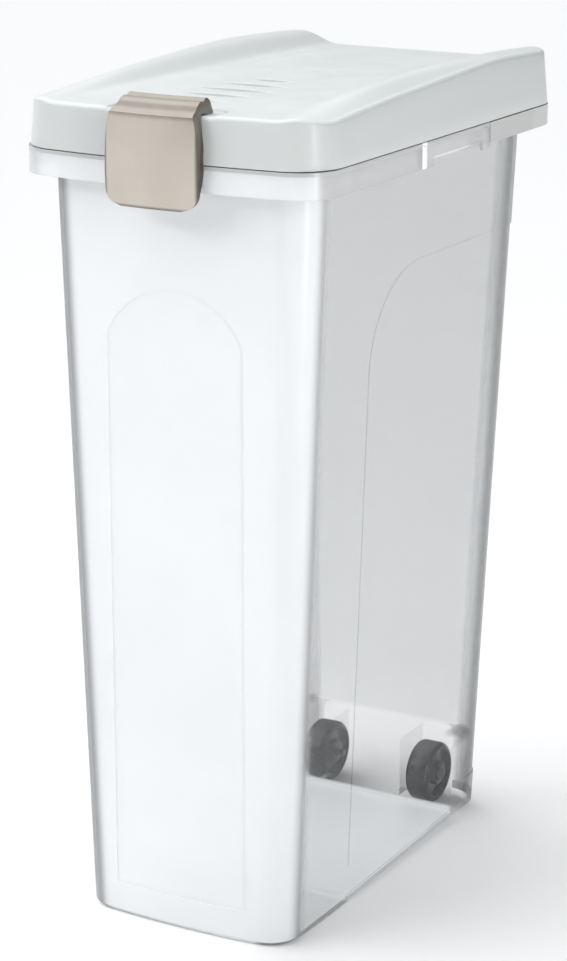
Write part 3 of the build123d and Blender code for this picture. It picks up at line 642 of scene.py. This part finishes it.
def makeLatch():
    form = latchForm
    across = form["columns"][-1][0]
    bm = bmesh.new()
    ring = [bm.verts.new((-across, y, z)) for y, z in latchProfile]
    rim = [bm.edges.new((first, second)) for first, second in zip(ring, ring[1:] + ring[:1])]
    low = [edge for edge in rim if all(vert.co.z < form["splitBelow"] for vert in edge.verts)]
    bmesh.ops.subdivide_edges(bm, edges=low, cuts=4)
    rim = list(bm.edges)
    bmesh.ops.contextual_create(bm, geom=rim)
    for _ in range(2 * across):
        rim = growRow(bm, rim, (1, 0, 0))
    bmesh.ops.contextual_create(bm, geom=rim)
    ends = [edge for edge in bm.edges if {round(vert.co.x) for vert in edge.verts} in ({-across}, {across})]
    for vert in bm.verts:
        column, y, z = vert.co
        half = lookUp(z, form["widths"])
        sunk = form["foot"] + form["cornerRound"] - z
        if sunk > 0:
            half -= form["cornerRound"] - math.sqrt(max(form["cornerRound"] ** 2 - sunk ** 2, 0))
        x = math.copysign(lookUp(abs(column), form["columns"]), column) * half
        bow = form["bow"] * (x / form["bowHalf"]) ** 2
        back = y > form["hollowBack"] and z < form["hollowTop"]
        if back and abs(round(column)) <= form["flatColumns"]:
            y = min(y, form["face"] + form["skin"])
        vert.co = (x, y + bow, z)
    bmesh.ops.recalc_face_normals(bm, faces=bm.faces)
    roundEdges(bm, ends, form["edge"], 3)
    makePiece(bm, "latchPlate", "latch", "latch", "latch", sharp=38.0)


makeLatch()

cheekForm = {"y": -194.0, "z": 536.0, "reach": 2.9, "near": 26.4, "far": 29.4}


def makeCheeks():  # the two small eyes behind the latch's face that turn on its pin
    y0, z0, reach = cheekForm["y"], cheekForm["z"], cheekForm["reach"]
    eye = [(y0 + reach * math.cos(math.radians(angle)), z0 + reach * math.sin(math.radians(angle)))
              for angle in range(-90, 91, 20)]
    outline = eye + [(-199.0, 544.0), (-198.6, 532.0)]
    for name, side in (("latchEyeLeft", -1), ("latchEyeRight", 1)):
        near, far = sorted((side * cheekForm["near"], side * cheekForm["far"]))
        makePiece(plateOf(outline, near, far, 0.3), name, "latch", "latch")


makeCheeks()


def turned(profile, centre, steps=72):  # (x, radius) points spun round a cross axis
    bm = bmesh.new()
    chain = [bm.verts.new((x, 0, reach)) for x, reach in profile]
    edges = [bm.edges.new(pair) for pair in zip(chain, chain[1:])]
    bmesh.ops.spin(bm, geom=chain + edges, cent=(0, 0, 0), axis=(1, 0, 0), angle=math.tau, steps=steps,
                   use_merge=True)
    bmesh.ops.remove_doubles(bm, verts=bm.verts, dist=0.0001)
    bmesh.ops.recalc_face_normals(bm, faces=bm.faces)
    bmesh.ops.translate(bm, verts=bm.verts, vec=centre)
    return bm


wheelForm = {"x": 46.7, "y": 132.3, "z": 24.3, "reach": 24.3, "half": 10.0, "bore": 3.08, "hub": 9.0, "dish": 4.5,
             "rim": 5.2, "round": 4.6}


def makeWheels():
    form = wheelForm
    reach, half, turn = form["reach"], form["half"], form["round"]
    tread = [(half - turn + turn * math.cos(math.radians(angle)) * 0.9 + turn * 0.1,
              reach - turn + turn * math.sin(math.radians(angle)))
             for angle in (0, 15, 30, 45, 60, 75, 90)]
    dished, rimLow = half - form["dish"], reach - form["rim"]
    side = [(half - 0.4, form["bore"]), (half, form["bore"] + 0.4), (half, form["hub"] - 0.5),
            (half - 0.4, form["hub"]), (dished + 0.8, form["hub"] + 0.5), (dished, form["hub"] + 1.3),
            (dished, rimLow - 1.4), (dished + 0.8, rimLow - 0.6), (half - 0.4, rimLow), (half - 0.05, rimLow + 0.3)]
    right = side + tread
    profile = right + [(-x, high) for x, high in reversed(right)] + right[:1]
    for name, end in (("wheel_left", -1), ("wheel_right", 1)):
        bm = turned(profile, (end * form["x"], form["y"], form["z"]), 96)
        title = name.replace("_l", "L").replace("_r", "R") + "Tyre"
        makePiece(bm, title, name, "wheel", name, sharp=44.0)


makeWheels()

axleForm = {"reach": 3.0, "head": 5.5, "headNear": 57.0, "headFar": 59.4, "far": 31.1}


def makeAxles():
    form = axleForm
    near, outer, head, reach = form["headNear"], form["headFar"], form["head"], form["reach"]
    profile = [(outer, 0.0), (outer, 1.0), (outer - 0.35, 1.2), (outer - 0.35, 2.2), (outer, 2.4), (outer, 4.3),
               (outer - 0.4, 5.1), (outer - 1.1, head), (near + 0.2, head), (near, head - 0.2), (near, reach),
               (form["far"] - 1.0, reach), (form["far"] - 1.4, reach - 0.5), (form["far"] - 1.4, 0.0)]
    for name, end in (("axle_left", -1), ("axle_right", 1)):
        bm = turned([(end * x, high) for x, high in profile], (0, wheelForm["y"], wheelForm["z"]), 48)
        makePiece(bm, name.replace("_l", "L").replace("_r", "R") + "Pin", "tub", "axle", name)


makeAxles()

wireForm = {"hingeReach": 2.0, "hingeHalf": 15.7, "latchReach": 1.6, "latchHalf": 29.9, "latchY": -194.0,
            "latchZ": 536.0}


def makeWires():
    def wire(name, node, reach, half, centre):
        profile = [(-half, 0.0), (-half, reach - 0.5), (-half + 0.5, reach), (half - 0.5, reach),
                   (half, reach - 0.5), (half, 0.0)]
        makePiece(turned(profile, centre, 32), name, "tub", "steel", node)

    form = wireForm
    for name, side in (("Left", -1), ("Right", 1)):
        wire("hingeWire" + name, "hinge_pin_" + name.lower(), form["hingeReach"], form["hingeHalf"],
             (side * hingeForm["x"], hingeForm["y"], hingeForm["z"]))
    wire("latchWire", "latch_pin", form["latchReach"], form["latchHalf"], (0, form["latchY"], form["latchZ"]))


makeWires()

tubForm = {"weld": 0.000005, "flat": 0.3, "sharp": 30.0}


def makeTub():  # the tub keeps its own shape, as one joined skin
    bm = bmesh.new()
    bm.from_mesh(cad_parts["tub"].data)
    bmesh.ops.remove_doubles(bm, verts=bm.verts, dist=tubForm["weld"])
    bmesh.ops.dissolve_limit(bm, angle_limit=math.radians(tubForm["flat"]), verts=bm.verts, edges=bm.edges,
                             delimit={"NORMAL"})
    makePiece(bm, "tubShell", "tub", "clear", "tub", sharp=tubForm["sharp"], inMillimetres=False)


makeTub()
print("pieces ready")

view = {"place": (0.9793, -1.7475, 0.8762), "forward": (-0.4737, 0.8351, -0.2796), "lens": 105.2}
camera = bpy.data.objects.new("camera", bpy.data.cameras.new("camera"))
camera.data.lens = view["lens"]
camera.data.sensor_width = 36.0
camera.data.sensor_fit = "AUTO"
camera.location = view["place"]
camera.rotation_euler = Vector(view["forward"]).to_track_quat("-Z", "Y").to_euler()
scene.collection.objects.link(camera)
scene.camera = camera

floorLook = {"size": 14.0, "colour": (0.93, 0.935, 0.94, 1)}
bm = bmesh.new()
bmesh.ops.create_grid(bm, x_segments=1, y_segments=1, size=floorLook["size"])
floorMesh = bpy.data.meshes.new("floor")
bm.to_mesh(floorMesh)
bm.free()
floor = bpy.data.objects.new("floor", floorMesh)
scene.collection.objects.link(floor)
paper = bpy.data.materials.new("palePaper")
paper.use_nodes = True
paper.node_tree.nodes["Principled BSDF"].inputs["Base Color"].default_value = floorLook["colour"]
paper.node_tree.nodes["Principled BSDF"].inputs["Roughness"].default_value = 0.9
floorMesh.materials.append(paper)

lights = {"strip": {"place": (1.75, -0.75, 0.8), "size": 0.4, "tall": 1.7, "power": 17.0},
          "bar": {"place": (-0.97, -1.2, 1.29), "size": 1.2, "tall": 0.2, "power": 6.5}}
for label, look in lights.items():
    lamp = bpy.data.lights.new(label, "AREA")
    lamp.energy = look["power"]
    lamp.shape, lamp.size, lamp.size_y = "RECTANGLE", look["size"], look["tall"]
    holder = bpy.data.objects.new(label, lamp)
    holder.location = look["place"]
    holder.rotation_euler = (Vector((0, 0, 0.3)) - Vector(look["place"])).to_track_quat("-Z", "Y").to_euler()
    scene.collection.objects.link(holder)

# a soft sky: brightest overhead and a little to the left, dimmer from the right
skyLook = {"tint": (0.985, 0.995, 1.0, 1), "level": 0.1, "overhead": 3.0, "lean": (-0.34, 0.0, 0.94),
           "leftGlow": 0.26, "rightDip": 0.64}
world = bpy.data.worlds.new("studio")
world.use_nodes = True
skyTree = world.node_tree
toSky = addNode(skyTree, "ShaderNodeTexCoord").outputs["Generated"]
facing = addNode(skyTree, "ShaderNodeSeparateXYZ")
feed(skyTree, facing.inputs[0], toSky)
peak = addNode(skyTree, "ShaderNodeVectorMath", operation="DOT_PRODUCT")
feed(skyTree, peak.inputs[0], toSky)
peak.inputs[1].default_value = skyLook["lean"]
steep = mathNode(skyTree, "POWER", mathNode(skyTree, "MAXIMUM", peak.outputs["Value"], 0.0), 3.0)
rise = mathNode(skyTree, "MULTIPLY", steep, skyLook["overhead"])
dip = rangeNode(skyTree, facing.outputs["X"], -0.5, 0.6, 1.0, 1.0 - skyLook["rightDip"])
glow = rangeNode(skyTree, facing.outputs["X"], -0.2, -0.9, 0.0, skyLook["leftGlow"])
strength = mathNode(skyTree, "MULTIPLY", mathNode(skyTree, "ADD", rise, skyLook["level"]), dip)
strength = mathNode(skyTree, "ADD", strength, glow)
skyTree.nodes["Background"].inputs["Color"].default_value = skyLook["tint"]
feed(skyTree, skyTree.nodes["Background"].inputs["Strength"], strength)
scene.world = world
scene.view_settings.view_transform = "Standard"
print("camera and lights ready")
